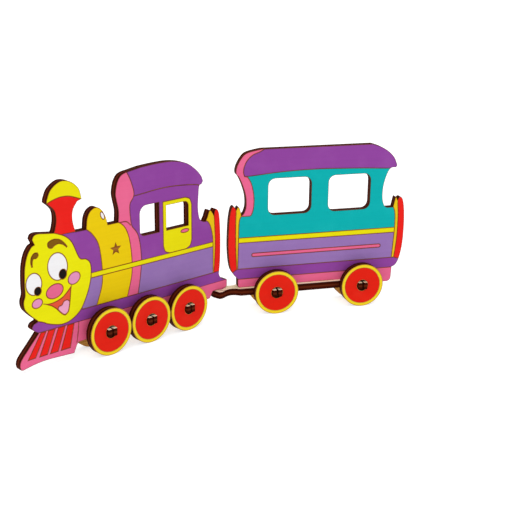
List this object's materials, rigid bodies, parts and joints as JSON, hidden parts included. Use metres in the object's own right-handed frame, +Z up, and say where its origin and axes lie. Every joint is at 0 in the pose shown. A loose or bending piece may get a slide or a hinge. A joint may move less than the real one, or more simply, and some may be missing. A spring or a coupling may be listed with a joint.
{
  "type": "wooden jigsaw train toy",
  "caption": "Flat laser-cut plywood train that snaps together: a smiling steam locomotive and a windowed carriage on free-turning wheels, joined by a swivelling coupling.",
  "frame": {"origin": "on the ground under the locomotive's middle axle, in the middle plane of its body sheet", "axes": "+X along the locomotive from its face back to the carriage, +Y to the train's right-hand side, +Z up"},
  "size_m": [0.1722, 0.0479, 0.0705],
  "materials": {
    "painted_ply": "painted satin plywood",
    "carriage_ply": "painted satin plywood",
    "wheel_ply": "painted satin plywood",
    "bare_ply": "bare birch plywood"
  },
  "bodies": {
    "loco": {"loco_body": "painted_ply", "loco_chassis": "bare_ply"},
    "carriage": {"carriage_body": "carriage_ply", "carriage_chassis": "bare_ply"},
    "loco_wheel_front_left": {"loco_wheel_front_left": "wheel_ply"},
    "loco_wheel_front_right": {"loco_wheel_front_right": "wheel_ply"},
    "loco_wheel_middle_left": {"loco_wheel_middle_left": "wheel_ply"},
    "loco_wheel_middle_right": {"loco_wheel_middle_right": "wheel_ply"},
    "loco_wheel_rear_left": {"loco_wheel_rear_left": "wheel_ply"},
    "loco_wheel_rear_right": {"loco_wheel_rear_right": "wheel_ply"},
    "carriage_wheel_front_left": {"carriage_wheel_front_left": "wheel_ply"},
    "carriage_wheel_front_right": {"carriage_wheel_front_right": "wheel_ply"},
    "carriage_wheel_rear_left": {"carriage_wheel_rear_left": "wheel_ply"},
    "carriage_wheel_rear_right": {"carriage_wheel_rear_right": "wheel_ply"}
  },
  "joints": [
    {"name": "coupling_swivel", "type": "hinge", "parent": "loco", "child": "carriage", "pos_m": [0.04145, 0, 0.0095], "axis": [0, 0, 1], "range_deg": [-22.8, 77.2]},
    {"name": "loco_wheel_front_left_spin", "type": "hinge", "parent": "loco", "child": "loco_wheel_front_left", "pos_m": [-0.01935, -0.00585, 0.0095], "axis": [0, 1, 0], "continuous": true},
    {"name": "loco_wheel_front_right_spin", "type": "hinge", "parent": "loco", "child": "loco_wheel_front_right", "pos_m": [-0.01935, 0.00585, 0.0095], "axis": [0, 1, 0], "continuous": true},
    {"name": "loco_wheel_middle_left_spin", "type": "hinge", "parent": "loco", "child": "loco_wheel_middle_left", "pos_m": [0, -0.00585, 0.0095], "axis": [0, 1, 0], "continuous": true},
    {"name": "loco_wheel_middle_right_spin", "type": "hinge", "parent": "loco", "child": "loco_wheel_middle_right", "pos_m": [0, 0.00585, 0.0095], "axis": [0, 1, 0], "continuous": true},
    {"name": "loco_wheel_rear_left_spin", "type": "hinge", "parent": "loco", "child": "loco_wheel_rear_left", "pos_m": [0.01935, -0.00585, 0.0095], "axis": [0, 1, 0], "continuous": true},
    {"name": "loco_wheel_rear_right_spin", "type": "hinge", "parent": "loco", "child": "loco_wheel_rear_right", "pos_m": [0.01935, 0.00585, 0.0095], "axis": [0, 1, 0], "continuous": true},
    {"name": "carriage_wheel_front_left_spin", "type": "hinge", "parent": "carriage", "child": "carriage_wheel_front_left", "pos_m": [0.05985, -0.01604, 0.0095], "axis": [0.4571, 0.8894, 0], "continuous": true},
    {"name": "carriage_wheel_front_right_spin", "type": "hinge", "parent": "carriage", "child": "carriage_wheel_front_right", "pos_m": [0.0652, -0.00563, 0.0095], "axis": [0.4571, 0.8894, 0], "continuous": true},
    {"name": "carriage_wheel_rear_left_spin", "type": "hinge", "parent": "carriage", "child": "carriage_wheel_rear_left", "pos_m": [0.09428, -0.03373, 0.0095], "axis": [0.4571, 0.8894, 0], "continuous": true},
    {"name": "carriage_wheel_rear_right_spin", "type": "hinge", "parent": "carriage", "child": "carriage_wheel_rear_right", "pos_m": [0.09962, -0.02332, 0.0095], "axis": [0.4571, 0.8894, 0], "continuous": true}
  ]
}
